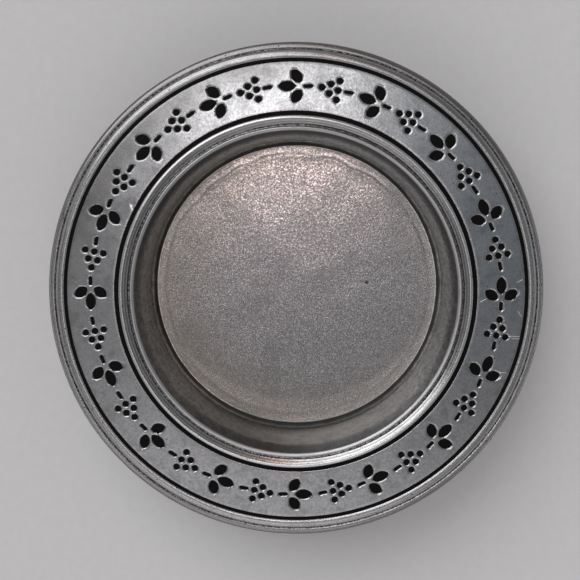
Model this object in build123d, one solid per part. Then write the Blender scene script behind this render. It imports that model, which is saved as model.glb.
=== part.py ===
from build123d import *
import math
import os

# Wine bottle coaster: a cast metal dish with a broad moulded rim, black fillings and a felt pad.
# Millimetres, +Z up, origin on the axis at the underside of the pad.

# Bottle well
floor_diameter = 89.4
floor_thickness = 3.2
well_depth = 26.0
well_fillet = 1.8
wall_draft = 3.0
wall_thickness = 3.0
mouth_height = 4.5
mouth_draft = 22.0
mouth_round = 6.0

# Lip and rim, from the lip outwards
lip_round = 1.1
lip_flat = 0.15
lip_roll = 0.4
lip_rise = 0.4
fine_line_width = 0.4
fine_line_depth = 0.3
inner_line_drop = 0.6
cove_width = 1.55
cove_sag = 0.03
inner_bead_width = 1.3
inner_bead_base = 0.38
inner_bead_rise = 0.33
groove_width = 1.2
groove_depth = 0.8
groove_draft = 10.0
band_width = 14.6
outer_bead_width = 2.5
outer_bead_rise = 0.4
outer_line_drop = 0.5
edge_bead_width = 1.8
edge_drop = 1.3
edge_bulge = 0.3
rim_slope = 5.5
rim_thickness = 3.0
edge_round = 1.1
neck_round = 3.0
lip_roll_bulge = 0.1

# Foot, pad and adhesive
foot_ring_width = 4.0
foot_round = 1.6
recess_depth = 1.2
pad_thickness = 1.8
pad_clearance = 0.3
adhesive_thickness = 0.2
adhesive_inset = 1.0

# Sunk vine border on the band: sprigs of three leaves alternate with bunches of grapes
motif_pitch = 12.2
engraving_depth = 0.7
fill_recess = 0.2
leaf_width = 3.3
middle_leaf_length = 5.6
side_leaf_length = 4.8
side_leaf_angle = 56.0
side_leaf_offset = 1.0
leaf_gap = 1.4
grape_diameter = 2.2
grape_spacing = 2.85
grape_rows = 3
stem_length = 3.0
stem_width = 1.3
stem_gap = 0.6

# Heights of the main levels
foot_height = pad_thickness + adhesive_thickness - recess_depth
recess_ceiling = foot_height + recess_depth
floor_height = recess_ceiling + floor_thickness
lip_height = floor_height + well_depth

# Radii of the well: a drafted wall on the floor's fillet, then a flared mouth up to the rounded lip
draft_slope = math.tan(math.radians(wall_draft))
mouth_slope = math.tan(math.radians(mouth_draft))
floor_turn = math.tan(math.radians((90 - wall_draft) / 2))
lip_turn = math.tan(math.radians((90 - mouth_draft) / 2))
floor_corner = floor_diameter / 2 + well_fillet * floor_turn
mouth_corner = floor_corner + (well_depth - mouth_height) * draft_slope
lip_corner = mouth_corner + mouth_height * mouth_slope
lip_crown = lip_corner + lip_round * lip_turn + lip_flat

# Radii of the rim's stations, each one width further out
lip_line = lip_crown + lip_roll
cove_start = lip_line + fine_line_width
inner_bead_start = cove_start + cove_width
inner_groove = inner_bead_start + inner_bead_width
band_start = inner_groove + groove_width
outer_groove = band_start + band_width
outer_bead_start = outer_groove + groove_width
edge_line = outer_bead_start + outer_bead_width
edge_bead_start = edge_line + fine_line_width
outer_radius = edge_bead_start + edge_bead_width
border_radius = band_start + band_width / 2

# Radii of the foot
wall_offset = wall_thickness / math.cos(math.radians(wall_draft))
foot_radius = floor_corner + wall_offset - (floor_height - foot_height) * draft_slope
recess_radius = foot_radius - foot_ring_width
pad_radius = recess_radius - pad_clearance

# Rise per radial length of the rim, and the border's count and centring along its run
slope = math.tan(math.radians(rim_slope))
motif_count = 2 * round(math.pi * border_radius / motif_pitch)
motif_shift = (leaf_gap + middle_leaf_length - stem_gap - stem_length) / 2

# Distance between the rows of a close-packed bunch
grape_row_step = grape_spacing * math.sqrt(3) / 2


def rim(radius, sunk=0.0):
    """Point of the rim's sloping top line at a radius, sunk below it by a depth."""
    height = lip_height - lip_rise - (radius - lip_line) * slope
    return (radius, height - sunk)


def bulged(start, end, rise):
    """Arc from start to end whose middle stands off the chord, upwards where rise is positive."""
    across = end[0] - start[0]
    up = end[1] - start[1]
    chord = math.hypot(across, up)
    middle = (
        (start[0] + end[0]) / 2 - rise * up / chord,
        (start[1] + end[1]) / 2 + rise * across / chord,
    )
    return ThreePointArc(start, middle, end)


def groove_points(start, top, bottom):
    """Cross-section of a ring groove between two depths below the rim's top line."""
    drafted = math.tan(math.radians(groove_draft))
    end = start + groove_width
    return [
        rim(start + top * drafted, top),
        rim(start + bottom * drafted, bottom),
        rim(end - bottom * drafted, bottom),
        rim(end - top * drafted, top),
    ]


def fine_line(start, drop):
    """V-shaped turned line whose edges lie at a depth below the rim's top line."""
    middle = start + fine_line_width / 2
    end = start + fine_line_width
    return Polyline(rim(start, drop), rim(middle, drop + fine_line_depth), rim(end, drop))


def turned(edges):
    """Solid of revolution about Z from a closed outline of radii and heights."""
    return revolve(Plane.XZ * make_face(edges), Axis.Z)


def plain_dish():
    """The casting before the border is sunk into its band."""
    well = FilletPolyline(
        (0, floor_height),
        (floor_corner, floor_height),
        (mouth_corner, lip_height - mouth_height),
        (lip_corner, lip_height),
        (lip_crown, lip_height),
        radius=[well_fillet, mouth_round, lip_round],
    )
    edge_top = (outer_radius, rim(edge_bead_start)[1] - edge_drop)
    bead_foot = rim(inner_bead_start, -inner_bead_base)
    mouldings = [
        bulged((lip_crown, lip_height), rim(lip_line, inner_line_drop), lip_roll_bulge),
        fine_line(lip_line, inner_line_drop),
        bulged(rim(cove_start, inner_line_drop), bead_foot, -cove_sag),
        bulged(bead_foot, rim(inner_groove), inner_bead_rise),
        Polyline(groove_points(inner_groove, 0, groove_depth)),
        Line(rim(band_start), rim(outer_groove)),
        Polyline(groove_points(outer_groove, 0, groove_depth)),
        bulged(rim(outer_bead_start), rim(edge_line, outer_line_drop), outer_bead_rise),
        fine_line(edge_line, outer_line_drop),
        bulged(rim(edge_bead_start, outer_line_drop), edge_top, edge_bulge),
    ]
    wall_foot = floor_corner + wall_offset - floor_height * draft_slope
    under_start = rim(0, rim_thickness)[1]
    neck_height = (under_start - slope * wall_foot) / (1 + slope * draft_slope)
    neck = (wall_foot + neck_height * draft_slope, neck_height)
    underside = FilletPolyline(
        edge_top,
        rim(outer_radius, rim_thickness),
        neck,
        (foot_radius, foot_height),
        (recess_radius, foot_height),
        (recess_radius, recess_ceiling),
        (0, recess_ceiling),
        radius=[edge_round, neck_round, foot_round, 0, 0],
    )
    axis_line = Line((0, recess_ceiling), (0, floor_height))
    return turned([well, *mouldings, underside, axis_line])


def groove_fill(start):
    """Black filling of one ring groove, just below the rim's surface."""
    points = groove_points(start, fill_recess, groove_depth)
    return turned(Polyline(points, close=True))


def band_layer(top, bottom):
    """Conical layer of the band between two depths below its surface."""
    end = outer_groove
    points = [rim(band_start, top), rim(end, top), rim(end, bottom), rim(band_start, bottom)]
    return turned(Polyline(points, close=True))


def leaf(length, angle, along, outward):
    """Pointed leaf outline from its base; along and outward place the base on the band."""
    tip = (0, length)
    sides = [bulged((0, 0), tip, leaf_width / 2), bulged(tip, (0, 0), leaf_width / 2)]
    return Pos(outward, along) * Rot(0, 0, -angle) * make_face(sides)


def leaf_outlines():
    """Sprig of three leaves, growing along the band from its own origin."""
    middle = leaf(middle_leaf_length, 0, leaf_gap, 0)
    outer = leaf(side_leaf_length, side_leaf_angle, 0, side_leaf_offset)
    inner = leaf(side_leaf_length, -side_leaf_angle, 0, -side_leaf_offset)
    return [middle, outer, inner]


def grape_outlines():
    """Bunch of grapes in shrinking rows, ending in one."""
    outlines = []
    for row in range(grape_rows):
        count = grape_rows - row
        along = grape_diameter / 2 + row * grape_row_step
        for place in range(count):
            outward = (place - (count - 1) / 2) * grape_spacing
            outlines.append(Pos(outward, along) * Circle(grape_diameter / 2))
    return outlines


def stem_outlines():
    """Short round-ended stem behind a sprig or bunch."""
    middle = -stem_gap - stem_length / 2
    return [Pos(0, middle) * Rot(0, 0, 90) * SlotOverall(stem_length, stem_width)]


def sunk(outlines, layer):
    """Solids of a conical layer under outlines drawn at the border's first place."""
    reach = engraving_depth + band_width * slope
    base = rim(border_radius, reach)
    solids = []
    for outline in outlines:
        prism = extrude(Pos(base[0], -motif_shift, base[1]) * outline, 2 * reach)
        solids.extend((prism & layer).solids())
    return solids


def around(solids, first, step):
    """Copies of solids at every step-th place of the border, from the first one."""
    turns = [Rot(0, 0, place * 360 / motif_count) for place in range(first, motif_count, step)]
    return [turn * solid for turn in turns for solid in solids]


def base_pad():
    """Felt disc that the coaster stands on."""
    return extrude(Circle(pad_radius), pad_thickness)


def pad_adhesive():
    """Film between the pad and the ceiling of the foot's recess."""
    film = Circle(pad_radius - adhesive_inset)
    return extrude(Pos(0, 0, pad_thickness) * film, adhesive_thickness)


pocket_layer = band_layer(-engraving_depth, engraving_depth)
fill_layer = band_layer(fill_recess, engraving_depth)
border = {
    "leaf_fills": (leaf_outlines(), 0, 2),
    "grape_fills": (grape_outlines(), 1, 2),
    "stem_fills": (stem_outlines(), 0, 1),
}

dish = plain_dish()
nodes = {}
for name, (outlines, first, step) in border.items():
    dish -= around(sunk(outlines, pocket_layer), first, step)
    nodes[name] = Compound(around(sunk(outlines, fill_layer), first, step))

nodes["cast_dish"] = dish
nodes["outer_groove_fill"] = groove_fill(outer_groove)
nodes["inner_groove_fill"] = groove_fill(inner_groove)
nodes["base_pad"] = base_pad()
nodes["pad_adhesive"] = pad_adhesive()

os.makedirs("parts", exist_ok=True)
for name, shape in nodes.items():
    export_step(shape, f"parts/{name}.step")
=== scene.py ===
import math
from functools import reduce

import bmesh
import bpy
from mathutils import Matrix, Vector, noise


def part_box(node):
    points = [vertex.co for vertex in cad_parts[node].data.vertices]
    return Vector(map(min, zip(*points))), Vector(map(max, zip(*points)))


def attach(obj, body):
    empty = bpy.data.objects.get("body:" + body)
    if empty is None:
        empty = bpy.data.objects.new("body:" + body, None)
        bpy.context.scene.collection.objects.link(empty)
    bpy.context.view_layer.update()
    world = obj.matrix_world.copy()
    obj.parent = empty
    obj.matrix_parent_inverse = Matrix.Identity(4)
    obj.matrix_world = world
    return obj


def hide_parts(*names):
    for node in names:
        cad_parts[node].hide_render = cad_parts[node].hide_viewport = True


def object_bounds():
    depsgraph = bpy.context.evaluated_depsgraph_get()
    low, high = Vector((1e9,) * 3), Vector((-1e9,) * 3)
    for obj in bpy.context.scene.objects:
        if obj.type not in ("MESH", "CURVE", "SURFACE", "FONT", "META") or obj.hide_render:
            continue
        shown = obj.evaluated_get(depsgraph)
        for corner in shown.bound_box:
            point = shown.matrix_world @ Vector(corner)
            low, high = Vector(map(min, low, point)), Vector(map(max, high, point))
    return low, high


bl_info = {
    "name": "Wine Bottle Coaster",
    "version": (1, 0, 0),
    "blender": (4, 5, 0),
    "location": "View3D > Sidebar > Coaster",
    "description": "Worn cast dish with a sunk vine border, black fillings and a felt pad",
    "category": "Object",
}

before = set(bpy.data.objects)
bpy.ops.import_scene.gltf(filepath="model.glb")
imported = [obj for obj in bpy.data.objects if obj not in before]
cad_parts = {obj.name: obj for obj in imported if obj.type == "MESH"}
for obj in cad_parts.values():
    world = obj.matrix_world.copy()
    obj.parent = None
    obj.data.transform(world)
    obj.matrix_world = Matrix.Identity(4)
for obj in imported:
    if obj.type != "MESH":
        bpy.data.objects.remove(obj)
CAD_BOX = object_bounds()
DISH_LOW, DISH_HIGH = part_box("cast_dish")
PAD_LOW, PAD_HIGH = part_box("base_pad")

MM = 0.001
BODY = "root"
FULL_TURN = 2 * math.pi
UP = Vector((0, 0, 1))


def length(name, millimetres, description):
    """A size, with its default given in millimetres."""
    return bpy.props.FloatProperty(
        name=name, description=description, default=millimetres * MM, unit="LENGTH", precision=5
    )


def angle(name, degrees, description):
    """A turn, with its default given in degrees."""
    return bpy.props.FloatProperty(
        name=name, description=description, default=math.radians(degrees), subtype="ANGLE"
    )


def count(name, number, description):
    """A whole number of like things or steps."""
    return bpy.props.IntProperty(name=name, description=description, default=number, min=1)


def share(name, value, description):
    """A plain factor."""
    return bpy.props.FloatProperty(name=name, description=description, default=value)


def colour(name, value, description):
    """A linear colour."""
    return bpy.props.FloatVectorProperty(
        name=name, description=description, default=value, subtype="COLOR", min=0.0, max=1.0
    )


class WellSizes(bpy.types.PropertyGroup):
    """Bottle well, from its floor to the crown of the lip."""

    floor_radius: length("Floor radius", 44.7, "Radius of the flat that a bottle stands on")
    depth: length("Depth", 26.0, "Lip above the floor")
    fillet: length("Fillet", 1.8, "Round between floor and wall")
    draft: angle("Draft", 3.0, "Lean of the wall")
    wall: length("Wall", 3.0, "Thickness of the wall")
    mouth_height: length("Mouth height", 4.5, "Height of the flared mouth below the lip")
    mouth_draft: angle("Mouth draft", 22.0, "Lean of the flared mouth")
    mouth_round: length("Mouth round", 6.0, "Round from the wall into the mouth")
    lip_round: length("Lip round", 1.1, "Round from the mouth to the top of the lip")
    lip_flat: length("Lip flat", 0.15, "Flat on top of the lip")


class RimSizes(bpy.types.PropertyGroup):
    """Mouldings, grooves and band of the rim, from the lip outwards."""

    lip_roll: length("Lip roll", 0.4, "Width of the roll outside the crown")
    lip_rise: length("Lip rise", 0.4, "Crown above the rim's top line")
    lip_bulge: length("Lip bulge", 0.1, "Swell of the lip's roll")
    line_width: length("Fine line width", 0.4, "Width of a turned line")
    line_depth: length("Fine line depth", 0.3, "Depth of a turned line")
    inner_line_drop: length("Inner line drop", 0.6, "Turned line beside the lip below the rim's top line")
    cove_width: length("Cove width", 1.55, "Hollow slope beside the lip")
    cove_sag: length("Cove sag", 0.03, "Depth of the hollow")
    inner_bead_width: length("Inner bead width", 1.3, "Bead inside the band")
    inner_bead_base: length("Inner bead base", 0.38, "That bead's inner foot above the rim's top line")
    inner_bead_rise: length("Inner bead rise", 0.33, "Swell of that bead")
    groove_width: length("Groove width", 1.2, "Width of a filled ring groove")
    groove_depth: length("Groove depth", 0.8, "Depth of a filled ring groove")
    groove_draft: angle("Groove draft", 10.0, "Lean of a groove's walls")
    band_width: length("Band width", 14.6, "Plain band that carries the border")
    outer_bead_width: length("Outer bead width", 2.5, "Bead outside the band")
    outer_bead_rise: length("Outer bead rise", 0.4, "Swell of that bead")
    outer_line_drop: length("Outer line drop", 0.5, "Turned line near the edge below the rim's top line")
    edge_bead_width: length("Edge bead width", 1.8, "Bead at the outer edge")
    edge_drop: length("Edge drop", 1.3, "Fall of the edge bead")
    edge_bulge: length("Edge bulge", 0.3, "Swell of the edge bead")
    slope: angle("Slope", 5.5, "Fall of the rim outwards")
    thickness: length("Thickness", 3.0, "Thickness of the rim")
    edge_round: length("Edge round", 1.1, "Round below the outer edge")
    neck_round: length("Neck round", 3.0, "Round between rim and outer wall")
    band_edge_round: length("Band edge round", 0.16, "Small round of the band's and the recess's edges")


class FootSizes(bpy.types.PropertyGroup):
    """Foot ring under the dish and the recess for the pad."""

    ring_width: length("Ring width", 4.0, "Width of the foot ring")
    round: length("Round", 1.6, "Outer round of the foot")
    recess_depth: length("Recess depth", 1.2, "Depth of the pad's recess")


class BorderSizes(bpy.types.PropertyGroup):
    """Sunk vine border: sprigs of three leaves alternate with bunches of grapes."""

    places: count("Places", 32, "Sprigs and bunches round the band")
    depth: length("Depth", 0.7, "Depth of the sunk outlines")
    leaf_width: length("Leaf width", 3.3, "Greatest width of a leaf")
    middle_leaf: length("Middle leaf", 5.6, "Length of a sprig's middle leaf")
    side_leaf: length("Side leaf", 4.8, "Length of a side leaf")
    side_angle: angle("Side angle", 56.0, "Side leaves turned from the sprig")
    side_offset: length("Side offset", 1.0, "Side leaves' bases off the sprig's line")
    leaf_gap: length("Leaf gap", 1.4, "Middle leaf's base above the side leaves'")
    grape: length("Grape", 2.2, "Diameter of a grape")
    grape_spacing: length("Grape spacing", 2.85, "Distance between grapes")
    grape_rows: count("Grape rows", 3, "Rows of a bunch")
    stem_length: length("Stem length", 3.0, "Length of a stem")
    stem_width: length("Stem width", 1.3, "Width of a stem")
    stem_gap: length("Stem gap", 0.6, "Stem's end below the sprig or bunch")


class WearSizes(bpy.types.PropertyGroup):
    """How the casting's surface departs from its true shape."""

    outline_drop: length("Outline drop", 0.045, "Worn drop along a sunk outline")
    outline_reach: length("Outline reach", 0.27, "Width of that worn edge")
    outline_wobble: length("Outline wobble", 0.05, "Unevenness of a sunk outline")
    outline_wave: length("Outline wave", 1.6, "Length of that unevenness")
    wall_steepness: share("Wall steepness", 3.0, "Fall of a sunk outline's wall")
    band_swell: length("Band swell", 0.016, "Unevenness of the band")
    band_wave: length("Band wave", 6.5, "Length of the band's unevenness")
    groove_wobble: length("Groove wobble", 0.05, "Unevenness of the band's edges")
    groove_wave: length("Groove wave", 1.4, "Length of that unevenness")
    floor_swell: length("Floor swell", 0.05, "Unevenness of the cast floor")
    floor_wave: length("Floor wave", 9.0, "Length of the floor's unevenness")
    floor_ring_radius: length("Floor ring radius", 41.6, "Faint ring inside the floor's edge")
    floor_ring_width: length("Floor ring width", 0.7, "Width of that ring")
    floor_ring_rise: length("Floor ring rise", 0.07, "Height of that ring")


class FinishColours(bpy.types.PropertyGroup):
    """Colours of the finishes."""

    alloy: colour("Alloy", (0.308, 0.309, 0.322), "Bare cast alloy")
    cast: colour("Cast floor", (0.176, 0.173, 0.175), "Sand-cast alloy")
    cast_stain: colour("Cast stain", (0.245, 0.224, 0.19), "Warm stain towards the floor's edge")
    # Worn alloy; also the tint of a painted highlight line at the floor's edge.
    worn: colour("Worn alloy", (0.4, 0.398, 0.408), "Alloy where it is rubbed")
    # Rubbed alloy; also the tint of a painted highlight on the inner bead's crest.
    rubbed: colour("Rubbed alloy", (0.6, 0.6, 0.608), "Alloy where it is rubbed bright")
    # Dulled alloy; also the tint of painted shade on the wall, the mouldings, the band and the floor's back
    # edge.
    dull_and_shade: colour("Dulled alloy", (0.136, 0.133, 0.13), "Alloy where it is dulled")
    wall: colour("Wall", (0.9, 0.885, 0.875), "Turned wall of the well")
    # Warm stains on the wall; also the tint of a painted pale ring of light inside the floor's edge.
    wall_stain_and_edge_light: colour("Wall stain", (0.87, 0.785, 0.725), "Warm stains on the wall")
    # Dark dirt in lines and pits; also the tint of painted shade in the crease at the wall's foot.
    soot_and_shade: colour("Soot", (0.012, 0.0115, 0.011), "Dark dirt in lines and pits")
    enamel: colour("Black filling", (0.003, 0.003, 0.0033), "Black filling of grooves and border")
    felt: colour("Felt", (0.02, 0.05, 0.032), "Felt of the pad")
    glue: colour("Adhesive", (0.5, 0.36, 0.17), "Dried adhesive film")
    floor: colour("Floor", (0.57, 0.566, 0.566), "Floor of the stage")


class StageSettings(bpy.types.PropertyGroup):
    """Camera and light."""

    distance: length("Camera distance", 400.0, "Camera to the middle of the band's plane")
    tilt_back: angle("Tilt back", 6.2, "Camera's lean towards the far side")
    tilt_side: angle("Tilt side", 0.76, "Camera's lean to the right")
    view_width: length("View width", 176.26, "Width of the picture at the band's plane")
    shift_right: share("Shift right", -0.0095, "Framing shift, in picture widths")
    shift_up: share("Shift up", 0.0061, "Framing shift, in picture widths")
    floor_radius: length("Floor radius", 5000.0, "Radius of the floor")


class CoasterSettings(bpy.types.PropertyGroup):
    """All sizes and colours of the coaster."""

    well: bpy.props.PointerProperty(type=WellSizes)
    rim: bpy.props.PointerProperty(type=RimSizes)
    foot: bpy.props.PointerProperty(type=FootSizes)
    border: bpy.props.PointerProperty(type=BorderSizes)
    wear: bpy.props.PointerProperty(type=WearSizes)
    colours: bpy.props.PointerProperty(type=FinishColours)
    stage: bpy.props.PointerProperty(type=StageSettings)


# Profile of the turned dish: points are a radius and a height


# Steps of its arcs and runs
FLOOR_STEPS, FLOOR_EDGE_STEPS = 24, 9
FILLET_STEPS, WALL_STEPS, MOUTH_STEPS, FLARE_STEPS, LIP_STEPS = 8, 6, 6, 3, 9
ROLL_STEPS, COVE_STEPS, BEAD_STEPS, BAND_EDGE_STEPS, EDGE_BEAD_STEPS = 4, 4, 12, 3, 9
LOWER_EDGE_STEPS, UNDER_STEPS, FOOT_STEPS, RECESS_STEPS, CEILING_STEPS = 5, 6, 6, 2, 5
FLOOR_EDGE_START = 0.9


def arc(start, end, rise, steps):
    """Points after start on an arc whose middle stands off its chord, to the left where rise is positive."""
    chord = end - start
    along = chord.normalized()
    across = Vector((-along.y, along.x))
    half_turn = 2 * math.atan2(abs(rise), chord.length / 2)
    radius = math.copysign(chord.length / 2 / math.sin(half_turn), rise)
    centre = (start + end) / 2 + across * (rise - radius)
    points = []
    for step in range(1, steps + 1):
        turn = half_turn * (2 * step / steps - 1)
        points.append(centre + across * radius * math.cos(turn) + along * abs(radius) * math.sin(turn))
    return points


def rounded(before, corner, after, radius, steps):
    """Points of an arc that rounds the corner between two straight runs."""
    into = (corner - before).normalized()
    out = (after - corner).normalized()
    half_turn = into.angle(out) / 2
    reach = radius * math.tan(half_turn)
    rise = math.copysign(radius * (1 - math.cos(half_turn)), -into.cross(out))
    start = corner - into * reach
    return [start, *arc(start, corner + out * reach, rise, steps)]


def run(start, end, steps):
    """Points after start on a straight run."""
    return [start.lerp(end, step / steps) for step in range(1, steps + 1)]


class Profile:
    """Stations of the dish, worked out from the driving sizes, and the chains of points between them."""

    def __init__(self, coaster):
        well = coaster.well
        rim = coaster.rim
        self.well = well
        self.rim = rim
        self.foot = coaster.foot
        self.lip_height = DISH_HIGH.z
        self.floor_height = self.lip_height - well.depth
        self.slope = math.tan(rim.slope)
        self.draft = math.tan(well.draft)
        floor_turn = math.tan((math.pi / 2 - well.draft) / 2)
        lip_turn = math.tan((math.pi / 2 - well.mouth_draft) / 2)
        self.floor_corner = well.floor_radius + well.fillet * floor_turn
        self.mouth_corner = self.floor_corner + (well.depth - well.mouth_height) * self.draft
        self.lip_corner = self.mouth_corner + well.mouth_height * math.tan(well.mouth_draft)
        self.lip_crown = self.lip_corner + well.lip_round * lip_turn + well.lip_flat
        self.lip_line = self.lip_crown + rim.lip_roll
        self.cove = self.lip_line + rim.line_width
        self.inner_bead = self.cove + rim.cove_width
        self.inner_groove = self.inner_bead + rim.inner_bead_width
        self.band = self.inner_groove + rim.groove_width
        self.outer_groove = self.band + rim.band_width
        self.outer_bead = self.outer_groove + rim.groove_width
        self.edge_line = self.outer_bead + rim.outer_bead_width
        self.edge_bead = self.edge_line + rim.line_width
        self.outer = self.edge_bead + rim.edge_bead_width
        self.border = self.band + rim.band_width / 2
        if abs(self.outer - DISH_HIGH.x) > MM / 10:
            raise RuntimeError("The sizes don't give the dish that the frame holds")

    def top(self, radius, sunk=0.0):
        """Point of the rim's top line at a radius, sunk below it by a depth."""
        height = self.lip_height - self.rim.lip_rise - (radius - self.lip_line) * self.slope
        return Vector((radius, height - sunk))

    def groove_floor(self, start):
        """Inner and outer corner at the bottom of a ring groove."""
        inset = self.rim.groove_depth * math.tan(self.rim.groove_draft)
        inner = self.top(start + inset, self.rim.groove_depth)
        return inner, self.top(start + self.rim.groove_width - inset, self.rim.groove_depth)

    def fine_line(self, start, drop):
        """Points after start across a turned line whose edges lie at a depth below the top line."""
        middle = start + self.rim.line_width / 2
        end = start + self.rim.line_width
        return [self.top(middle, drop + self.rim.line_depth), self.top(end, drop)]

    def floor_chain(self):
        """Cast floor, from the axis to the foot of the wall's fillet."""
        axis = Vector((0, self.floor_height))
        edge = Vector((self.well.floor_radius, self.floor_height))
        inner = axis.lerp(edge, FLOOR_EDGE_START)
        return [axis, *run(axis, inner, FLOOR_STEPS), *run(inner, edge, FLOOR_EDGE_STEPS)]

    def wall_chain(self):
        """Fillet, drafted wall, flared mouth and inner round of the lip."""
        well = self.well
        start = self.floor_chain()[-1]
        corner = Vector((self.floor_corner, self.floor_height))
        mouth = Vector((self.mouth_corner, self.lip_height - well.mouth_height))
        lip = Vector((self.lip_corner, self.lip_height))
        crown = Vector((self.lip_crown, self.lip_height))
        foot = rounded(start, corner, mouth, well.fillet, FILLET_STEPS)
        bend = rounded(corner, mouth, lip, well.mouth_round, MOUTH_STEPS)
        shoulder = rounded(mouth, lip, crown, well.lip_round, LIP_STEPS)
        wall = run(foot[-1], bend[0], WALL_STEPS)
        flare = run(bend[-1], shoulder[0], FLARE_STEPS)
        return [*foot, *wall, *bend[1:], *flare, *shoulder[1:]]

    def inner_chain(self):
        """Lip, fine line, cove and inner bead, down to the bottom of the inner groove."""
        rim = self.rim
        start = self.wall_chain()[-1]
        crown = Vector((self.lip_crown, self.lip_height))
        line = self.top(self.lip_line, rim.inner_line_drop)
        cove = self.top(self.cove, rim.inner_line_drop)
        bead = self.top(self.inner_bead, -rim.inner_bead_base)
        groove = self.top(self.inner_groove)
        return [
            start,
            crown,
            *arc(crown, line, rim.lip_bulge, ROLL_STEPS),
            *self.fine_line(self.lip_line, rim.inner_line_drop),
            *arc(cove, bead, -rim.cove_sag, COVE_STEPS),
            *arc(bead, groove, rim.inner_bead_rise, BEAD_STEPS),
            self.groove_floor(self.inner_groove)[0],
        ]

    def band_chain(self, margin, rows, plain_rows):
        """Band between the grooves, with close rows within a margin of the border's middle."""
        start = self.groove_floor(self.inner_groove)[1]
        end = self.groove_floor(self.outer_groove)[0]
        inner = self.top(self.band)
        outer = self.top(self.outer_groove)
        near = self.top(self.border - margin)
        far = self.top(self.border + margin)
        soft = self.rim.band_edge_round
        inner_edge = rounded(start, inner, near, soft, BAND_EDGE_STEPS)
        outer_edge = rounded(far, outer, end, soft, BAND_EDGE_STEPS)
        return [
            start,
            *inner_edge,
            *run(inner_edge[-1], near, plain_rows),
            *run(near, far, rows),
            *run(far, outer_edge[0], plain_rows),
            *outer_edge[1:],
            end,
        ]

    def outer_chain(self):
        """Outer bead, fine line and edge bead, from the bottom of the outer groove."""
        rim = self.rim
        bead = self.top(self.outer_bead)
        line = self.top(self.edge_line, rim.outer_line_drop)
        edge = self.top(self.edge_bead, rim.outer_line_drop)
        return [
            self.groove_floor(self.outer_groove)[1],
            bead,
            *arc(bead, line, rim.outer_bead_rise, BEAD_STEPS),
            *self.fine_line(self.edge_line, rim.outer_line_drop),
            *arc(edge, self.edge_top(), rim.edge_bulge, EDGE_BEAD_STEPS),
        ]

    def edge_top(self):
        """Outermost point, where the edge bead ends."""
        return Vector((self.outer, self.top(self.edge_bead).y - self.rim.edge_drop))

    def under_chain(self):
        """Outer edge, underside, outer wall, foot and recess, back to the axis."""
        well = self.well
        rim = self.rim
        foot = self.foot
        slip = well.wall / math.cos(well.draft)
        wall_foot = self.floor_corner + slip - self.floor_height * self.draft
        neck_height = (self.top(0, rim.thickness).y - self.slope * wall_foot) / (1 + self.slope * self.draft)
        neck = Vector((wall_foot + neck_height * self.draft, neck_height))
        edge = self.top(self.outer, rim.thickness)
        foot_outer = Vector((wall_foot + DISH_LOW.z * self.draft, DISH_LOW.z))
        foot_inner = foot_outer - Vector((foot.ring_width, 0))
        ceiling = foot_inner + Vector((0, foot.recess_depth))
        axis = Vector((0, ceiling.y))
        soft = rim.band_edge_round
        lower_edge = rounded(self.edge_top(), edge, neck, rim.edge_round, LOWER_EDGE_STEPS)
        neck_arc = rounded(edge, neck, foot_outer, rim.neck_round, UNDER_STEPS)
        foot_arc = rounded(neck, foot_outer, foot_inner, foot.round, FOOT_STEPS)
        recess_edge = rounded(foot_outer, foot_inner, ceiling, soft, RECESS_STEPS)
        recess_corner = rounded(foot_inner, ceiling, axis, soft, RECESS_STEPS)
        return [
            self.edge_top(),
            *lower_edge,
            *run(lower_edge[-1], neck_arc[0], UNDER_STEPS),
            *neck_arc[1:],
            *run(neck_arc[-1], foot_arc[0], UNDER_STEPS),
            *foot_arc[1:],
            *run(foot_arc[-1], recess_edge[0], RECESS_STEPS),
            *recess_edge[1:],
            *recess_corner,
            *run(recess_corner[-1], axis, CEILING_STEPS),
        ]


# Outlines of the sunk border: signed distances, negative inside, from a place's own origin


def leaf_distance(point, base, turn, long, wide):
    """Distance from a pointed leaf that grows from its base, turned from the border's run."""
    local = Matrix.Rotation(-turn, 2) @ (point - base)
    half = long / 2
    bow = (half * half + wide * wide / 4) / wide
    offset = bow - wide / 2
    side = abs(local.x)
    up = abs(local.y - half)
    if (up - half) * offset > side * half:
        return math.hypot(side, up - half)
    return math.hypot(side + offset, up) - bow


def stem_distance(point, border):
    """Distance from the round-ended stem behind a sprig or bunch."""
    half = (border.stem_length - border.stem_width) / 2
    middle = -border.stem_gap - border.stem_length / 2
    beyond = max(abs(point.y - middle) - half, 0)
    return math.hypot(point.x, beyond) - border.stem_width / 2


def sprig_distance(point, border):
    """Distance from a sprig of three leaves; x is outward and y along the border."""
    middle = leaf_distance(point, Vector((0, border.leaf_gap)), 0, border.middle_leaf, border.leaf_width)
    mirrored = Vector((abs(point.x), point.y))
    base = Vector((border.side_offset, 0))
    side = leaf_distance(mirrored, base, -border.side_angle, border.side_leaf, border.leaf_width)
    return min(middle, side)


def bunch_distance(point, border):
    """Distance from a bunch of grapes in shrinking rows."""
    step = border.grape_spacing * math.sqrt(3) / 2
    least = math.inf
    for row in range(border.grape_rows):
        number = border.grape_rows - row
        along = border.grape / 2 + row * step
        for place in range(number):
            outward = (place - (number - 1) / 2) * border.grape_spacing
            least = min(least, math.hypot(point.x - outward, point.y - along))
    return least - border.grape / 2


def border_distance(point, radius, border):
    """Distance of a point of the band from the nearest sunk outline."""
    step = FULL_TURN / border.places
    shift = (border.leaf_gap + border.middle_leaf - border.stem_gap - border.stem_length) / 2
    nearest = round(math.atan2(point.y, point.x) / step)
    least = math.inf
    for place in (nearest - 1, nearest, nearest + 1):
        local = Matrix.Rotation(-place * step, 2) @ point - Vector((radius, -shift))
        motif = bunch_distance if place % 2 else sprig_distance
        least = min(least, motif(local, border), stem_distance(local, border))
    return least


# Shaping of the casting's surface


# Shifts that make the unevenness of each place its own
OUTLINE_SALT, GROOVE_SALT, BAND_SALT = 3.7, 8.1, 1.3
FLOOR_SALT, RING_SALT, TUFT_SALT = 5.9, 7.7, 4.4
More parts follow.
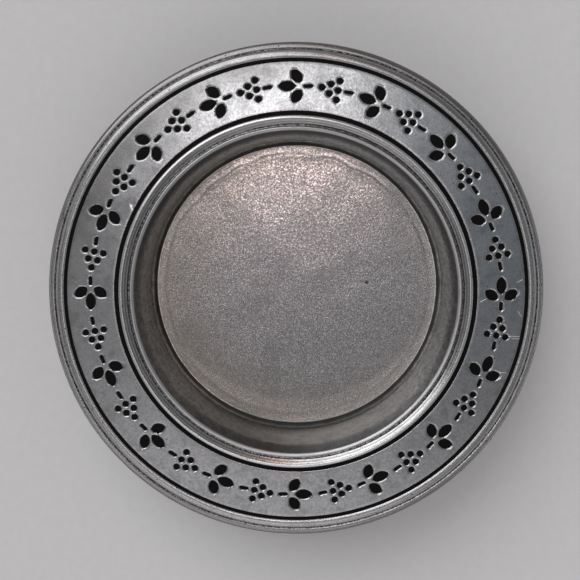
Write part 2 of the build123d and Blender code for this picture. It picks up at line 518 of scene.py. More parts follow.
# Each dent's place, and its depth, length, width and turn
PIT = Vector((22.6, 1.0)) * MM
PIT_FORM = (0.12 * MM, 0.7 * MM, 0.5 * MM, 0.0)
BAND_DENT = Matrix.Rotation(math.radians(151.5), 2) @ Vector((55.3, 0)) * MM
BAND_DENT_FORM = (0.3 * MM, 0.9 * MM, 0.5 * MM, math.radians(-35))
DENT_REACH = 3.0


def wobble(place, wave, salt):
    """Smooth unevenness between -1 and 1 with about the given wave length."""
    return noise.noise(place / wave + Vector((salt, 2 * salt, -salt)))


def outline_depth(distance, border, wear):
    """Depth of the band's surface at a distance from a sunk outline, with a worn edge."""
    if distance >= wear.outline_reach:
        return 0.0
    if distance >= 0:
        return wear.outline_drop * (1 - distance / wear.outline_reach) ** 2
    return min(border.depth, wear.outline_drop - distance * wear.wall_steepness)


def sink_border(bm, profile, border, wear, cell):
    """Sink the border's outlines into the band, with vertices drawn onto the outlines."""
    on_outline = set()
    nudge = cell / 50

    def distance(plan):
        uneven = wear.outline_wobble * wobble(plan.to_3d(), wear.outline_wave, OUTLINE_SALT)
        return border_distance(plan, profile.border, border) + uneven

    for vert in bm.verts:
        plan = vert.co.to_2d()
        away = distance(plan)
        if abs(away) < cell / 2:
            slope_x = distance(plan + Vector((nudge, 0))) - away
            slope_y = distance(plan + Vector((0, nudge))) - away
            rise = Vector((slope_x, slope_y))
            if rise.length > nudge / 4:
                plan -= rise.normalized() * away
                away = 0.0
                on_outline.add(vert)
        depth = outline_depth(away, border, wear)
        if depth > 0 or vert in on_outline:
            vert.co = Vector((plan.x, plan.y, profile.top(plan.length, depth).y))
    for face in {face for vert in on_outline for face in vert.link_faces}:
        corners = list(face.verts)
        if len(corners) != 4:
            continue
        for one, other in ((0, 2), (1, 3)):
            if corners[one] in on_outline and corners[other] in on_outline:
                bmesh.utils.face_split(face, corners[one], corners[other])
                break


def roughen_band(verts, profile, wear):
    """Give the band its casting swell and the uneven edges of its grooves."""
    for vert in verts:
        plan = vert.co.to_2d()
        radius = plan.length
        sunk = profile.top(radius).y - vert.co.z
        edge = min(abs(radius - profile.band), abs(radius - profile.outer_groove))
        if edge < profile.rim.groove_width / 4 and sunk < profile.rim.groove_depth / 2:
            ragged = wear.groove_wobble * wobble(vert.co, wear.groove_wave, GROOVE_SALT)
            plan *= 1 + ragged / radius
        swell = wear.band_swell * wobble(vert.co, wear.band_wave, BAND_SALT)
        vert.co = Vector((plan.x, plan.y, vert.co.z + swell))


def roughen_floor(verts, profile, wear):
    """Give the cast floor its swell and the faint ring inside its edge, calm at the edge itself."""
    for vert in verts:
        radius = vert.co.to_2d().length
        calm = min(1.0, max(0.0, profile.well.floor_radius - radius) / wear.floor_ring_width)
        swell = wear.floor_swell * wobble(vert.co, wear.floor_wave, FLOOR_SALT)
        off_ring = (radius - wear.floor_ring_radius) / wear.floor_ring_width
        ring = wear.floor_ring_rise * math.exp(-off_ring * off_ring)
        patchy = 0.5 + 0.5 * wobble(vert.co, 2 * wear.floor_wave, RING_SALT)
        vert.co.z += calm * (swell + ring * patchy)


def press(verts, place, depth, long, wide, turn):
    """Press a dent into verts at a place of the dish, longest at a turn from the radial direction."""
    across = Matrix.Rotation(-math.atan2(place.y, place.x) - turn, 2)
    for vert in verts:
        local = across @ (vert.co.to_2d() - place)
        reach = (local.x / long) ** 2 + (local.y / wide) ** 2
        if reach < DENT_REACH**2:
            vert.co.z -= depth * math.exp(-reach)


# Node finishes


METAL = 1.0
SCRATCHES = (
    ((59.2, -11.9), (63.0, -13.2)),
    ((63.4, -13.0), (68.2, -13.2)),
    ((65.8, -13.8), (68.1, -13.9)),
    ((56.0, -2.4), (58.9, -0.9)),
    ((67.3, 3.5), (68.8, 4.3)),
    ((62.2, -24.3), (64.1, -24.3)),
    ((67.6, -5.4), (68.7, -7.1)),
)
SCRATCH_WIDTH = 0.16 * MM
PIT_TAIL = (((20.8, 1.3), (22.4, 1.0)),)


class Nodes:
    """Short ways to add nodes to a tree."""

    def __init__(self, tree, coordinates):
        self.tree = tree
        tree.nodes.clear()
        self.place = self.add("ShaderNodeTexCoord").outputs[coordinates]

    def add(self, kind, inputs=None, **settings):
        """A new node with its settings, and its inputs fed."""
        node = self.tree.nodes.new(kind)
        for name, value in settings.items():
            setattr(node, name, value)
        for key, value in (inputs or {}).items():
            self.feed(node.inputs[key], value)
        return node

    def feed(self, socket, value):
        """Link a socket to an output, or set it to a constant."""
        if isinstance(value, bpy.types.NodeSocket):
            self.tree.links.new(value, socket)
        else:
            socket.default_value = value

    def math(self, operation, first, second=0.0):
        """A sum, difference or other operation on two values."""
        return self.add("ShaderNodeMath", {0: first, 1: second}, operation=operation).outputs[0]

    def times(self, first, second):
        """Product of two values."""
        return self.math("MULTIPLY", first, second)

    def vector(self, operation, first, second=(0, 0, 0)):
        """An operation on two vectors; the value output for a length or a dot product."""
        node = self.add("ShaderNodeVectorMath", {0: first, 1: second}, operation=operation)
        single = operation in ("LENGTH", "DOT_PRODUCT", "DISTANCE")
        return node.outputs["Value" if single else "Vector"]

    def split(self):
        """The place's three coordinates."""
        return self.add("ShaderNodeSeparateXYZ", {0: self.place}).outputs

    def spread(self, value, start, end, low=0.0, high=1.0):
        """Map start..end smoothly onto low..high."""
        inputs = {"Value": value, "From Min": start, "From Max": end, "To Min": low, "To Max": high}
        return self.add("ShaderNodeMapRange", inputs, interpolation_type="SMOOTHSTEP").outputs["Result"]

    def blend(self, factor, first, second):
        """Mix of two colours."""
        node = self.add("ShaderNodeMix", {"Factor": factor}, data_type="RGBA")
        colours = [socket for socket in node.inputs if socket.type == "RGBA"]
        for socket, value in zip(colours, (first, second)):
            self.feed(socket, value if isinstance(value, bpy.types.NodeSocket) else (*value, 1.0))
        return next(socket for socket in node.outputs if socket.type == "RGBA")


class Finish(Nodes):
    """One finish in the object's own coordinates: a tone that is painted over, and bumps that add up."""

    def __init__(self, name, tone):
        self.material = bpy.data.materials.new(name)
        self.material.use_nodes = True
        super().__init__(self.material.node_tree, "Object")
        self.surface = self.add("ShaderNodeBsdfPrincipled")
        self.add("ShaderNodeOutputMaterial", {"Surface": self.surface.outputs["BSDF"]})
        self.tone = tone
        self.bumps = {}

    def flat(self):
        """The place without its height."""
        return self.vector("MULTIPLY", self.place, (1, 1, 0))

    def radius(self):
        """Distance from the axis."""
        return self.vector("LENGTH", self.flat())

    def near(self, value, middle, reach):
        """1 where a value is at the middle, falling smoothly to 0 at a reach from it."""
        return self.spread(self.math("ABSOLUTE", self.math("SUBTRACT", value, middle)), reach, 0.0)

    def grain(self, size, detail=2.0, rough=0.5, place=None):
        """Noise with features of about the given size, from 0 to 1."""
        place = self.place if place is None else place
        inputs = {"Vector": place, "Scale": 1 / size, "Detail": detail, "Roughness": rough}
        return self.add("ShaderNodeTexNoise", inputs).outputs["Fac"]

    def lines(self, value, size, detail):
        """Noise that varies with one value alone."""
        inputs = {"W": value, "Scale": 1 / size, "Detail": detail}
        return self.add("ShaderNodeTexNoise", inputs, noise_dimensions="1D").outputs["Fac"]

    def pits(self, spacing, size):
        """Sparse round pits, 1 inside and 0 outside."""
        cells = self.add("ShaderNodeTexVoronoi", {"Vector": self.place, "Scale": 1 / spacing})
        return self.spread(cells.outputs["Distance"], 0.5 * size / spacing, 0.2 * size / spacing)

    def cuts(self, lines):
        """Fine straight cuts between points in millimetres, 1 along each and 0 elsewhere."""
        flat = self.flat()
        total = 0.0
        for first, last in lines:
            start = Vector(first).to_3d() * MM
            span = Vector(last).to_3d() * MM - start
            from_start = self.vector("SUBTRACT", flat, start)
            along = self.vector("DOT_PRODUCT", from_start, span / span.length_squared)
            along = self.math("MAXIMUM", self.math("MINIMUM", along, 1.0), 0.0)
            nearest = self.add("ShaderNodeVectorMath", {0: span, "Scale": along}, operation="SCALE")
            off = self.vector("DISTANCE", from_start, nearest.outputs["Vector"])
            total = self.math("ADD", total, self.spread(off, SCRATCH_WIDTH, 0.0))
        return total

    def follow(self, grain, low, high):
        """Map the middle of a noise's range onto low..high."""
        return self.spread(grain, 0.3, 0.7, low, high)

    def paint(self, tint, *factors):
        """Lay a tint over the tone, by the product of the factors."""
        self.tone = self.blend(reduce(self.times, factors), self.tone, tint)

    def tinge(self, tint, value, start, end, most=1.0):
        """Lay a tint over the tone, from none where a value is at start to most where it is at end."""
        self.paint(tint, self.spread(value, start, end, 0.0, most))

    def bump(self, height, depth):
        """Add a height field that spans the given depth."""
        node = self.add("ShaderNodeBump", {"Height": height, "Distance": depth, **self.bumps})
        self.bumps = {"Normal": node.outputs["Normal"]}

    def finish(self, roughness, metallic=0.0):
        """Set the shader's main sockets and give the material."""
        sockets = {"Base Color": self.tone, "Roughness": roughness, "Metallic": metallic, **self.bumps}
        for name, value in sockets.items():
            self.feed(self.surface.inputs[name], value)
        return self.material


def shaded(colour, factor):
    """A colour made lighter or darker."""
    return tuple(min(1.0, factor * channel) for channel in colour)


def sand_cast_finish(name, colours, base, grain_size, grain_depth):
    """Sand-cast alloy: grain cut up by creases, warm stains, a pit, a broken flow line, painted shade along
    the back edge, and a painted pale ring and highlight line near the edge.
    """
    look = Finish(name, base)
    rightward, backward, _ = look.split()
    radius = look.radius()
    grain = look.grain(grain_size / 3, 3.0, 0.6)
    creases = look.near(look.grain(grain_size, 3.0, 0.55), 0.5, 0.06)
    patches = look.grain(12 * MM, 3.0)
    look.tinge(colours.worn, grain, 0.34, 0.7)
    leftward = look.spread(rightward, 40 * MM, -30 * MM, 0.2, 0.5)
    look.paint(colours.cast_stain, leftward, look.spread(radius, 20 * MM, 44 * MM))
    look.paint(colours.soot_and_shade, creases, 0.3)
    look.tinge(colours.dull_and_shade, patches, 0.5, 0.3, most=0.25)
    # Painted shade along the floor's back edge.
    back_edge_shade = look.spread(backward, 12 * MM, 36 * MM, 0.0, 0.5)
    look.paint(colours.dull_and_shade, back_edge_shade, look.spread(radius, 40.5 * MM, 43 * MM))
    # Painted light: a pale ring inside the floor's edge, at the front and the sides.
    ring_start = look.spread(backward, -15 * MM, -38 * MM, 41.3 * MM, 36 * MM)
    pale_ring_light = look.spread(look.math("SUBTRACT", radius, ring_start), 0.0, 2.6 * MM)
    frontward = look.spread(backward, 34 * MM, 5 * MM, 0.0, 0.1)
    look.paint(colours.wall_stain_and_edge_light, pale_ring_light, frontward)
    pit = look.spread(look.vector("DISTANCE", look.flat(), PIT.to_3d()), 0.8 * MM, 0.35 * MM)
    look.paint(colours.soot_and_shade, pit, 0.8)
    look.paint(colours.soot_and_shade, look.cuts(PIT_TAIL))
    # Along the edge, a worn line with a painted highlight; inside it, the dark broken flow line.
    uneven = look.math("ADD", radius, look.times(look.grain(8 * MM, 3.0), 3.2 * MM))
    broken = look.times(look.spread(backward, 0.0, 40 * MM, 0.15, 1.0), look.spread(patches, 0.36, 0.56))
    look.paint(colours.worn, look.near(uneven, 44.6 * MM, 0.7 * MM), broken, 0.5)
    look.paint(colours.soot_and_shade, look.near(uneven, 43.7 * MM, 0.6 * MM), broken, 0.45)
    look.bump(look.grain(2 * grain_size), 0.012 * MM)
    look.bump(look.grain(0.9 * grain_size), 1.8 * grain_depth)
    look.bump(creases, -grain_depth)
    look.bump(grain, grain_depth / 2)
    return look.finish(look.follow(grain, 0.18, 0.13), METAL)


def turned_wall_finish(colours, profile):
    """Turned wall: warm and grainy below, painted shade towards the front and in the flared mouth, bright on
    the lip, soot and painted shade in the crease at the floor.
    """
    look = Finish("turned_wall", colours.wall)
    rightward, _, height = look.split()
    radius = look.radius()
    stains = look.grain(6 * MM, 3.0, 0.6)
    fine = look.grain(0.45 * MM, 3.0)
    leftward = look.spread(rightward, 30 * MM, -40 * MM, -0.35, 0.35)
    look.tinge(colours.wall_stain_and_edge_light, look.math("ADD", stains, leftward), 0.35, 0.65)
    # Painted shade: the wall is darkened towards the front.
    toward_front = look.vector("DOT_PRODUCT", look.place, (0.12, -0.99, 0))
    look.tinge(colours.dull_and_shade, toward_front, 22 * MM, 48 * MM, most=0.82)
    mouth = profile.lip_height - profile.well.mouth_height
    # Painted shade in the flared mouth, strongest at the back.
    shade = look.spread(toward_front, -48 * MM, 48 * MM, 1.0, 0.45)
    flared = look.spread(height, mouth - 1.2 * MM, mouth + 2.6 * MM)
    look.paint(colours.dull_and_shade, shade, flared)
    streaks = look.grain(1.0 * MM, 4.0, 0.65, look.vector("MULTIPLY", look.place, (1, 1, 0.4)))
    look.tinge(colours.dull_and_shade, streaks, 0.56, 0.36, most=0.42)
    look.tinge(colours.dull_and_shade, fine, 0.54, 0.34, most=0.45)
    look.tinge(colours.dull_and_shade, look.grain(2.2 * MM, 3.0, 0.6), 0.54, 0.34, most=0.42)
    look.tinge(colours.dull_and_shade, stains, 0.46, 0.28, most=0.35)
    lip = look.spread(radius, profile.lip_corner - 0.3 * MM, profile.lip_corner + 0.1 * MM)
    look.paint(colours.worn, lip, look.spread(toward_front, -24 * MM, -46 * MM, 1.0, 0.7))
    floor = profile.floor_height
    start = profile.well.floor_radius
    # Painted shade: a dark soot-coloured crease where the wall meets the floor, also rougher and less
    # metallic there.
    uneven = look.math("ADD", height, look.times(stains, 0.6 * MM))
    low = look.spread(uneven, floor + 1.8 * MM, floor + 0.5 * MM)
    soot_and_shade = look.times(low, look.spread(radius, start, start + 0.25 * MM))
    look.paint(colours.soot_and_shade, soot_and_shade)
    look.bump(fine, 0.035 * MM)
    look.bump(look.lines(height, 0.5 * MM, 3.0), 0.014 * MM)
    rough = look.math("ADD", look.follow(stains, 0.44, 0.34), look.times(soot_and_shade, 0.4))
    return look.finish(rough, look.math("SUBTRACT", METAL, soot_and_shade))


def turned_rim_finish(colours, profile):
    """Turned mouldings: fine concentric lines, painted shade at the back and on the edge bead at back and
    front, a painted highlight on the inner bead's crest, dirt in the cut lines and a few pits.
    """
    look = Finish("turned_rim", colours.alloy)
    _, backward, _ = look.split()
    radius = look.radius()
    rings = look.lines(radius, 0.32 * MM, 2.0)
    patches = look.grain(5 * MM, 3.0, 0.6)
    fine = look.grain(0.4 * MM, 3.0)
    waver = look.times(look.grain(1.4 * MM), 0.4 * MM)
    streaks = look.lines(look.math("ADD", radius, waver), 0.24 * MM, 1.0)
    look.tinge(colours.worn, rings, 0.38, 0.6)
    look.tinge(colours.dull_and_shade, rings, 0.46, 0.34, most=0.5)
    look.tinge(colours.dull_and_shade, look.lines(radius, 0.9 * MM, 1.0), 0.5, 0.34, most=0.35)
    look.tinge(colours.dull_and_shade, patches, 0.5, 0.25, most=0.4)
    look.tinge(colours.dull_and_shade, streaks, 0.5, 0.36, most=0.7)
    look.tinge(colours.rubbed, streaks, 0.46, 0.64)
    look.tinge(colours.dull_and_shade, fine, 0.48, 0.34, most=0.65)
    cove = look.near(radius, profile.cove + profile.rim.cove_width / 2, profile.rim.cove_width)
    look.paint(colours.dull_and_shade, cove, 0.35)
    # Painted shade: the mouldings darker towards the back.
    look.tinge(colours.dull_and_shade, backward, 20 * MM, 56 * MM, most=0.45)
    # Painted shade on the edge bead, at the back and at the front.
    far = look.spread(backward, -10 * MM, 60 * MM, 0.0, 0.7)
    close = look.spread(backward, -40 * MM, -66 * MM, 0.0, 0.6)
    edge = look.spread(radius, profile.edge_line, profile.edge_bead)
    look.paint(colours.dull_and_shade, edge, look.math("ADD", far, close))
    half = profile.rim.line_width / 2
    dotted = look.spread(look.grain(0.7 * MM), 0.4, 0.58, 0.15, 1.0)
    for line in (profile.lip_line + 2 * half, profile.edge_line + half):
        look.paint(colours.soot_and_shade, look.near(radius, line, 2.4 * half), dotted)
    # Rubbed crest of the inner bead with a painted highlight, weaker at the back.
    crest_highlight = look.near(radius, profile.inner_bead + 0.6 * MM, 0.6 * MM)
    look.paint(colours.rubbed, crest_highlight, look.spread(backward, 20 * MM, 50 * MM, 0.8, 0.5))
    look.paint(colours.soot_and_shade, look.pits(2.6 * MM, 0.6 * MM))
    look.bump(fine, 0.012 * MM)
    look.bump(streaks, 0.014 * MM)
    return look.finish(look.follow(patches, 0.28, 0.2), METAL)


def burnished_band_finish(colours, profile):
    """Burnished band: mottled sheen, soft smears, painted shade over the outer half towards the far left, a
    few pits and single scratches.
    """
    look = Finish("burnished_band", colours.alloy)
    mottle = look.grain(0.8 * MM, 4.0, 0.65)
    patches = look.grain(10 * MM, 3.0, 0.6)
    fine = look.grain(0.35 * MM, 3.0)
    cuts = look.cuts(SCRATCHES)
    look.tinge(colours.worn, mottle, 0.38, 0.62)
    look.tinge(colours.dull_and_shade, fine, 0.5, 0.32, most=0.35)
    look.tinge(colours.dull_and_shade, look.grain(3.5 * MM, 3.0, 0.6), 0.5, 0.3, most=0.35)
    look.tinge(colours.dull_and_shade, patches, 0.55, 0.3, most=0.25)
    # Painted shade: the band's outer half darker towards the far left.
    far_left = look.vector("DOT_PRODUCT", look.place, (-0.57, 0.82, 0))
    far_left_shade = look.spread(far_left, 35 * MM, 66 * MM, 0.0, 0.6)
    outward = look.spread(look.radius(), profile.border - 2 * MM, profile.outer_groove - 2 * MM)
    look.paint(colours.dull_and_shade, far_left_shade, outward)
    look.paint(colours.soot_and_shade, look.pits(4.2 * MM, 0.5 * MM))
    look.paint(colours.rubbed, cuts)
    look.bump(mottle, 0.014 * MM)
    look.bump(fine, 0.012 * MM)
    look.bump(look.times(cuts, -1.0), 0.04 * MM)
    rough = look.math("ADD", look.follow(patches, 0.26, 0.18), look.follow(mottle, 0.06, 0.0))
    return look.finish(rough, METAL)


def black_filling_finish(colours):
    """Black filling, matt and slightly pitted, with a few rubbed specks."""
    look = Finish("black_filling", colours.enamel)
    lumps = look.grain(0.7 * MM, 3.0)
    look.tinge(colours.dull_and_shade, look.grain(0.3 * MM, 1.0), 0.7, 0.85, most=0.15)
    look.bump(lumps, 0.05 * MM)
    look.bump(look.grain(0.15 * MM), 0.012 * MM)
    look.surface.inputs["Specular IOR Level"].default_value = 0.06
    return look.finish(look.follow(lumps, 0.5, 0.7))


def felt_finish(colours):
    """Pressed felt: crossing fibres, clumps and a soft sheen."""
    look = Finish("pressed_felt", colours.felt)
    clumps = look.grain(2.2 * MM, 4.0, 0.6)
    fibre_scale = (1 / (1.8 * MM), 1 / (0.14 * MM), 1 / (0.3 * MM))
    fibres = 0.0
    for turn in range(3):
        spin = (0.3 * turn, 0.2, turn * math.pi / 3)
        inputs = {"Vector": look.place, "Rotation": spin, "Scale": fibre_scale}
        spun_place = look.add("ShaderNodeMapping", inputs).outputs["Vector"]
        fibres = look.math("MAXIMUM", fibres, look.grain(1.0, 2.0, 0.6, spun_place))
    look.tinge(shaded(colours.felt, 2.2), fibres, 0.5, 0.8)
    look.tinge(shaded(colours.felt, 0.5), clumps, 0.55, 0.3, most=0.6)
    look.bump(clumps, 0.25 * MM)
    look.bump(fibres, 0.2 * MM)
    look.surface.inputs["Sheen Weight"].default_value = 0.35
    look.surface.inputs["Sheen Roughness"].default_value = 0.5
    look.surface.inputs["Specular IOR Level"].default_value = 0.2
    return look.finish(look.follow(clumps, 0.88, 0.98))


def adhesive_finish(colours):
    """Dried adhesive film with thin and thick patches."""
    look = Finish("dried_adhesive", colours.glue)
    patches = look.grain(5 * MM, 3.0)
    look.tinge(shaded(colours.glue, 1.5), patches, 0.35, 0.7)
    look.bump(patches, 0.1 * MM)
    return look.finish(look.follow(patches, 0.25, 0.45))


def floor_finish(colours):
    """Plain pale floor with a faint tooth."""
    look = Finish("pale_floor", colours.floor)
    tooth = look.grain(3 * MM, 3.0)
    look.tinge(shaded(colours.floor, 1.03), tooth, 0.3, 0.7)
    look.bump(tooth, 0.02 * MM)
    look.surface.inputs["Specular IOR Level"].default_value = 0.2
    return look.finish(look.follow(tooth, 0.7, 0.8))


# Meshes


SECTORS = 32
PLAIN_STEPS = 288
BAND_STEPS = 1152
PAD_STEPS = 192
BORDER_ROWS = 32
PLAIN_ROWS = 3
WELD = MM / 1000
FLOOR, WALL, TURNED, BAND, UNDER = range(5)
# Rounds of the pad's edge as shares of its thickness, and steps of its profile
PAD_LOWER_ROUND, PAD_UPPER_ROUND = 0.45, 0.3
PAD_LOWER_STEPS, PAD_UPPER_STEPS, PAD_UNDER_STEPS, PAD_TOP_STEPS = 4, 3, 14, 6
# Tufts of the pad: share of the radius where its edge starts, length of the unevenness, and depths
PAD_EDGE_START = 0.98
TUFT_WAVE = 1.5 * MM
EDGE_TUFT = 0.12 * MM
UNDER_TUFT = 0.05 * MM


def spun(points, steps, finish=0):
    """A chain of profile points turned about the axis: one sector first, then its copies."""
    bm = bmesh.new()
    chain = [bm.verts.new((point.x, 0, point.y)) for point in points]
    links = [bm.edges.new(pair) for pair in zip(chain, chain[1:])]
    sector = FULL_TURN / SECTORS
    about = {"cent": (0, 0, 0), "axis": UP, "dvec": (0, 0, 0)}
    bmesh.ops.spin(bm, geom=chain + links, angle=sector, steps=steps // SECTORS, **about)
    whole = [*bm.verts, *bm.edges, *bm.faces]
    bmesh.ops.spin(bm, geom=whole, angle=FULL_TURN - sector, steps=SECTORS - 1, use_duplicate=True, **about)
    bmesh.ops.remove_doubles(bm, verts=bm.verts, dist=WELD)
    for face in bm.faces:
        face.material_index = finish
    return bm


def joined(parts):
    """One bmesh from several, welded where their rings meet."""
    whole = bmesh.new()
    for part in parts:
        mesh = bpy.data.meshes.new("part")
        part.to_mesh(mesh)
        part.free()
        whole.from_mesh(mesh)
        bpy.data.meshes.remove(mesh)
    bmesh.ops.remove_doubles(whole, verts=whole.verts, dist=WELD)
    return whole


def bridge_groove(bm, middle, width):
    """Close the bottom of a ring groove between the two edge loops there."""
    loops = []
    for edge in bm.edges:
        if edge.is_boundary:
            radius = (edge.verts[0].co.to_2d().length + edge.verts[1].co.to_2d().length) / 2
            if abs(radius - middle) < width / 2:
                loops.append(edge)
    bmesh.ops.bridge_loops(bm, edges=loops)


def placed(name, data):
    """A new object in the scene."""
    obj = bpy.data.objects.new(name, data)
    bpy.context.scene.collection.objects.link(obj)
    return obj


def mesh_object(name, bm, materials):
    """An object from a finished bmesh."""
    mesh = bpy.data.meshes.new(name)
    bm.to_mesh(mesh)
    bm.free()
    for material in materials:
        mesh.materials.append(material)
    return placed(name, mesh)


def piece(name, bm, materials):
    """A smooth-shaded piece from a finished bmesh, riding on the part."""
    bmesh.ops.recalc_face_normals(bm, faces=bm.faces)
    for face in bm.faces:
        face.smooth = True
    obj = mesh_object(name, bm, materials)
    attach(obj, BODY)
    return obj


def clothe(node, material):
    """Give a CAD node's object one material."""
    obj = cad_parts[node]
    obj.data.materials.clear()
    obj.data.materials.append(material)


class COASTER_OT_cast_dish(bpy.types.Operator):
    """Turn the dish from its profile, sink the border and wear the surface"""

    bl_idname = "coaster.cast_dish"
    bl_label = "Cast dish"

    def execute(self, context):
        coaster = context.scene.coaster
        profile = Profile(coaster)
        wear = coaster.wear
        border = coaster.border
        colours = coaster.colours
        margin = border.side_offset + border.side_leaf * math.sin(border.side_angle)
        floor = spun(profile.floor_chain(), PLAIN_STEPS, FLOOR)
        roughen_floor(floor.verts, profile, wear)
        press(floor.verts, PIT, *PIT_FORM)
        band = spun(profile.band_chain(margin, BORDER_ROWS, PLAIN_ROWS), BAND_STEPS, BAND)
        sink_border(band, profile, border, wear, 2 * margin / BORDER_ROWS)
        roughen_band(band.verts, profile, wear)
        press(band.verts, BAND_DENT, *BAND_DENT_FORM)
        wall = spun(profile.wall_chain(), PLAIN_STEPS, WALL)
        inner = spun(profile.inner_chain(), PLAIN_STEPS, TURNED)
        outer = spun(profile.outer_chain(), PLAIN_STEPS, TURNED)
        under = spun(profile.under_chain(), PLAIN_STEPS, UNDER)
        bm = joined((floor, wall, inner, band, outer, under))
        for groove in (profile.inner_groove, profile.outer_groove):
            bridge_groove(bm, groove + profile.rim.groove_width / 2, profile.rim.groove_width)
        materials = [
            sand_cast_finish("sand_cast_floor", colours, colours.cast, 1.0 * MM, 0.011 * MM),
            turned_wall_finish(colours, profile),
            turned_rim_finish(colours, profile),
            burnished_band_finish(colours, profile),
            sand_cast_finish("sand_cast_underside", colours, colours.alloy, 1.5 * MM, 0.03 * MM),
        ]
        dish = piece("dish_casting", bm, materials)
        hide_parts("cast_dish")
        return {"FINISHED"}


class COASTER_OT_black_fillings(bpy.types.Operator):
    """Give the fillings of grooves and border their black finish"""

    bl_idname = "coaster.black_fillings"
    bl_label = "Black fillings"

    def execute(self, context):
        filling = black_filling_finish(context.scene.coaster.colours)
        for node in ("outer_groove_fill", "inner_groove_fill", "leaf_fills", "grape_fills", "stem_fills"):
            clothe(node, filling)
        return {"FINISHED"}


class COASTER_OT_felt_pad(bpy.types.Operator):
    """Make the felt pad and finish the adhesive above it"""

    bl_idname = "coaster.felt_pad"
    bl_label = "Felt pad"

    def execute(self, context):
        colours = context.scene.coaster.colours
        radius = PAD_HIGH.x
        thick = PAD_HIGH.z - PAD_LOW.z
        middle = (PAD_LOW.z + PAD_HIGH.z) / 2
        low = Vector((0, PAD_LOW.z))
        high = Vector((0, PAD_HIGH.z))
        edge_low = Vector((radius, low.y))
        edge_high = Vector((radius, high.y))
        lower = rounded(low, edge_low, edge_high, PAD_LOWER_ROUND * thick, PAD_LOWER_STEPS)
        upper = rounded(edge_low, edge_high, high, PAD_UPPER_ROUND * thick, PAD_UPPER_STEPS)
        under = run(low, lower[0], PAD_UNDER_STEPS)
        top = run(upper[-1], high, PAD_TOP_STEPS)
        bm = spun([low, *under, *lower[1:], *upper, *top], PAD_STEPS)
        for vert in bm.verts:
            plan = vert.co.to_2d()
            tuft = (1 + wobble(vert.co, TUFT_WAVE, TUFT_SALT)) / 2
            if plan.length > PAD_EDGE_START * radius:
                vert.co -= plan.to_3d().normalized() * EDGE_TUFT * tuft
            if vert.co.z < middle:
                vert.co.z += UNDER_TUFT * tuft
        pad = piece("felt_pad", bm, [felt_finish(colours)])
        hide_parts("base_pad")
        clothe("pad_adhesive", adhesive_finish(colours))
        return {"FINISHED"}


# Stage


# Name, tilts to the right and to the back and disc in degrees, strength and tint of each broad sun
LAMPS = (
    ("key", -29, 40, 46, 1.32, (0.98, 0.99, 1.0)),
    ("ceiling_panel", -3.5, 13.5, 18.5, 0.26, (1.0, 0.99, 0.99)),
    ("warm_lamp", 5, 42, 4, 0.04, (1.0, 0.52, 0.3)),
    ("warm_panel", -0.9, 1.2, 6, 0.064, (1.0, 0.77, 0.74)),
)
# Tilts to the right and to the back and reach in degrees, and level of each card of the world
FRONT_CARD = (-12, -48, 40, 0.75)
UPPER_CARD = (0, 0, 18, 0.34)
COOL_CARD = (20, 4, 24, 1.0)
HORIZON_LEVEL = 0.55
ZENITH_LEVEL = 0.31
STUDIO_TINT = (1.0, 0.98, 0.985)
COOL_TINT = (0.62, 0.745, 0.825)
SENSOR_WIDTH = 36.0
CLIP_START = 10 * MM
FLOOR_SEGMENTS = 96
FLOOR_GAP = MM / 50


def tilted(right, back):
    """Direction at tilts in degrees from straight up, towards the right and towards the back."""
    return Vector((math.tan(math.radians(right)), math.tan(math.radians(back)), 1)).normalized()


def soft_sun(name, right, back, disc, strength, tint):
    """A sun with a broad disc, so that metal shows it as a soft panel."""
    light = bpy.data.lights.new(name, "SUN")
    light.angle = math.radians(disc)
    light.energy = strength
    light.color = tint
    obj = placed(name, light)
    obj.rotation_mode = "QUATERNION"
    obj.rotation_quaternion = tilted(right, back).to_track_quat("Z", "Y")


def studio_world():
    """Soft grey studio: paler towards the horizon, pale cards in front and above, a cool one to the right."""
    world = bpy.data.worlds.new("soft_studio")
    world.use_nodes = True
    nodes = Nodes(world.node_tree, "Generated")

    def card(right, back, reach, level):
        facing = nodes.vector("DOT_PRODUCT", nodes.place, tilted(right, back))
        return nodes.spread(facing, math.cos(math.radians(reach)), 1.0, 0.0, level)

    level = nodes.spread(nodes.split()["Z"], 0.1, 0.6, HORIZON_LEVEL, ZENITH_LEVEL)
    for pale_card in (FRONT_CARD, UPPER_CARD):
        level = nodes.math("ADD", level, card(*pale_card))
    tint = nodes.blend(card(*COOL_CARD), STUDIO_TINT, COOL_TINT)
    backdrop = nodes.add("ShaderNodeBackground", {"Color": tint, "Strength": level})
    nodes.add("ShaderNodeOutputWorld", {"Surface": backdrop.outputs[0]})
    bpy.context.scene.world = world


def photo_camera(stage, middle):
    """Camera over the dish, leaning back a little, framed by its shift."""
    toward = Vector((math.sin(stage.tilt_side), math.sin(stage.tilt_back), 1)).normalized()
    right = Vector((0, 1, 0)).cross(toward).normalized()
    up = toward.cross(right)
    data = bpy.data.cameras.new("camera")
    data.sensor_width = SENSOR_WIDTH
    data.lens = SENSOR_WIDTH * stage.distance / stage.view_width
    data.shift_x = stage.shift_right
    data.shift_y = stage.shift_up
    data.clip_start = CLIP_START
    camera = placed("camera", data)
    turn = Matrix((right, up, toward)).transposed().to_4x4()
    camera.matrix_world = Matrix.Translation(middle + toward * stage.distance) @ turn
    bpy.context.scene.camera = camera


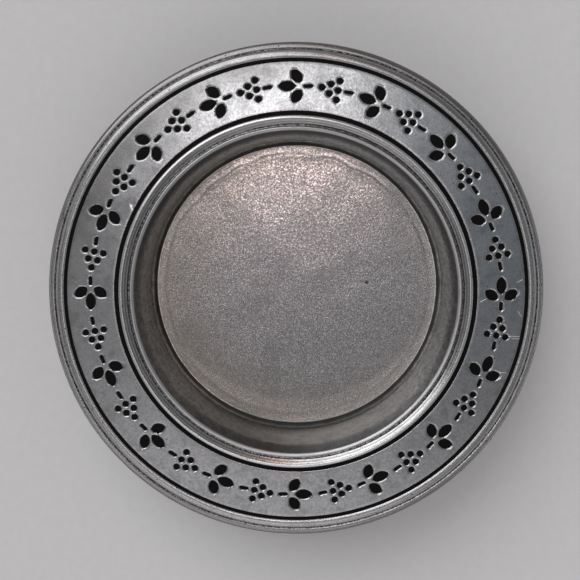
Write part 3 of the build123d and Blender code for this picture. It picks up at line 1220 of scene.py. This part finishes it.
class COASTER_OT_stage(bpy.types.Operator):
    """Make the floor, the lights, the world and the camera"""

    bl_idname = "coaster.stage"
    bl_label = "Stage"

    def execute(self, context):
        coaster = context.scene.coaster
        profile = Profile(coaster)
        bm = bmesh.new()
        bmesh.ops.create_circle(
            bm, cap_ends=True, segments=FLOOR_SEGMENTS, radius=coaster.stage.floor_radius
        )
        bmesh.ops.translate(bm, verts=bm.verts, vec=(0, 0, CAD_BOX[0].z - FLOOR_GAP))
        floor = mesh_object("floor", bm, [floor_finish(coaster.colours)])
        for lamp in LAMPS:
            soft_sun(*lamp)
        studio_world()
        photo_camera(coaster.stage, Vector((0, 0, profile.top(profile.border).y)))
        context.scene.view_settings.view_transform = "Standard"
        return {"FINISHED"}


class COASTER_PT_panel(bpy.types.Panel):
    """Sizes, colours and operators of the coaster"""

    bl_label = "Wine Bottle Coaster"
    bl_idname = "COASTER_PT_panel"
    bl_space_type = "VIEW_3D"
    bl_region_type = "UI"
    bl_category = "Coaster"

    def draw(self, context):
        coaster = context.scene.coaster
        for group in ("well", "rim", "foot", "border", "wear", "colours", "stage"):
            box = self.layout.box()
            box.label(text=group.capitalize())
            settings = getattr(coaster, group)
            for name in settings.__annotations__:
                box.prop(settings, name)
        for operator in OPERATORS:
            self.layout.operator(operator.bl_idname)


OPERATORS = (
    COASTER_OT_cast_dish,
    COASTER_OT_black_fillings,
    COASTER_OT_felt_pad,
    COASTER_OT_stage,
)
CLASSES = (
    WellSizes,
    RimSizes,
    FootSizes,
    BorderSizes,
    WearSizes,
    FinishColours,
    StageSettings,
    CoasterSettings,
    *OPERATORS,
    COASTER_PT_panel,
)


def register():
    """Register the classes and hang the settings on the scene."""
    for cls in CLASSES:
        bpy.utils.register_class(cls)
    bpy.types.Scene.coaster = bpy.props.PointerProperty(type=CoasterSettings)


def unregister():
    """Take the settings and classes away again."""
    del bpy.types.Scene.coaster
    for cls in reversed(CLASSES):
        bpy.utils.unregister_class(cls)


def main():
    register()
    bpy.ops.coaster.cast_dish()
    bpy.ops.coaster.black_fillings()
    bpy.ops.coaster.felt_pad()
    bpy.ops.coaster.stage()


if __name__ == "__main__":
    main()
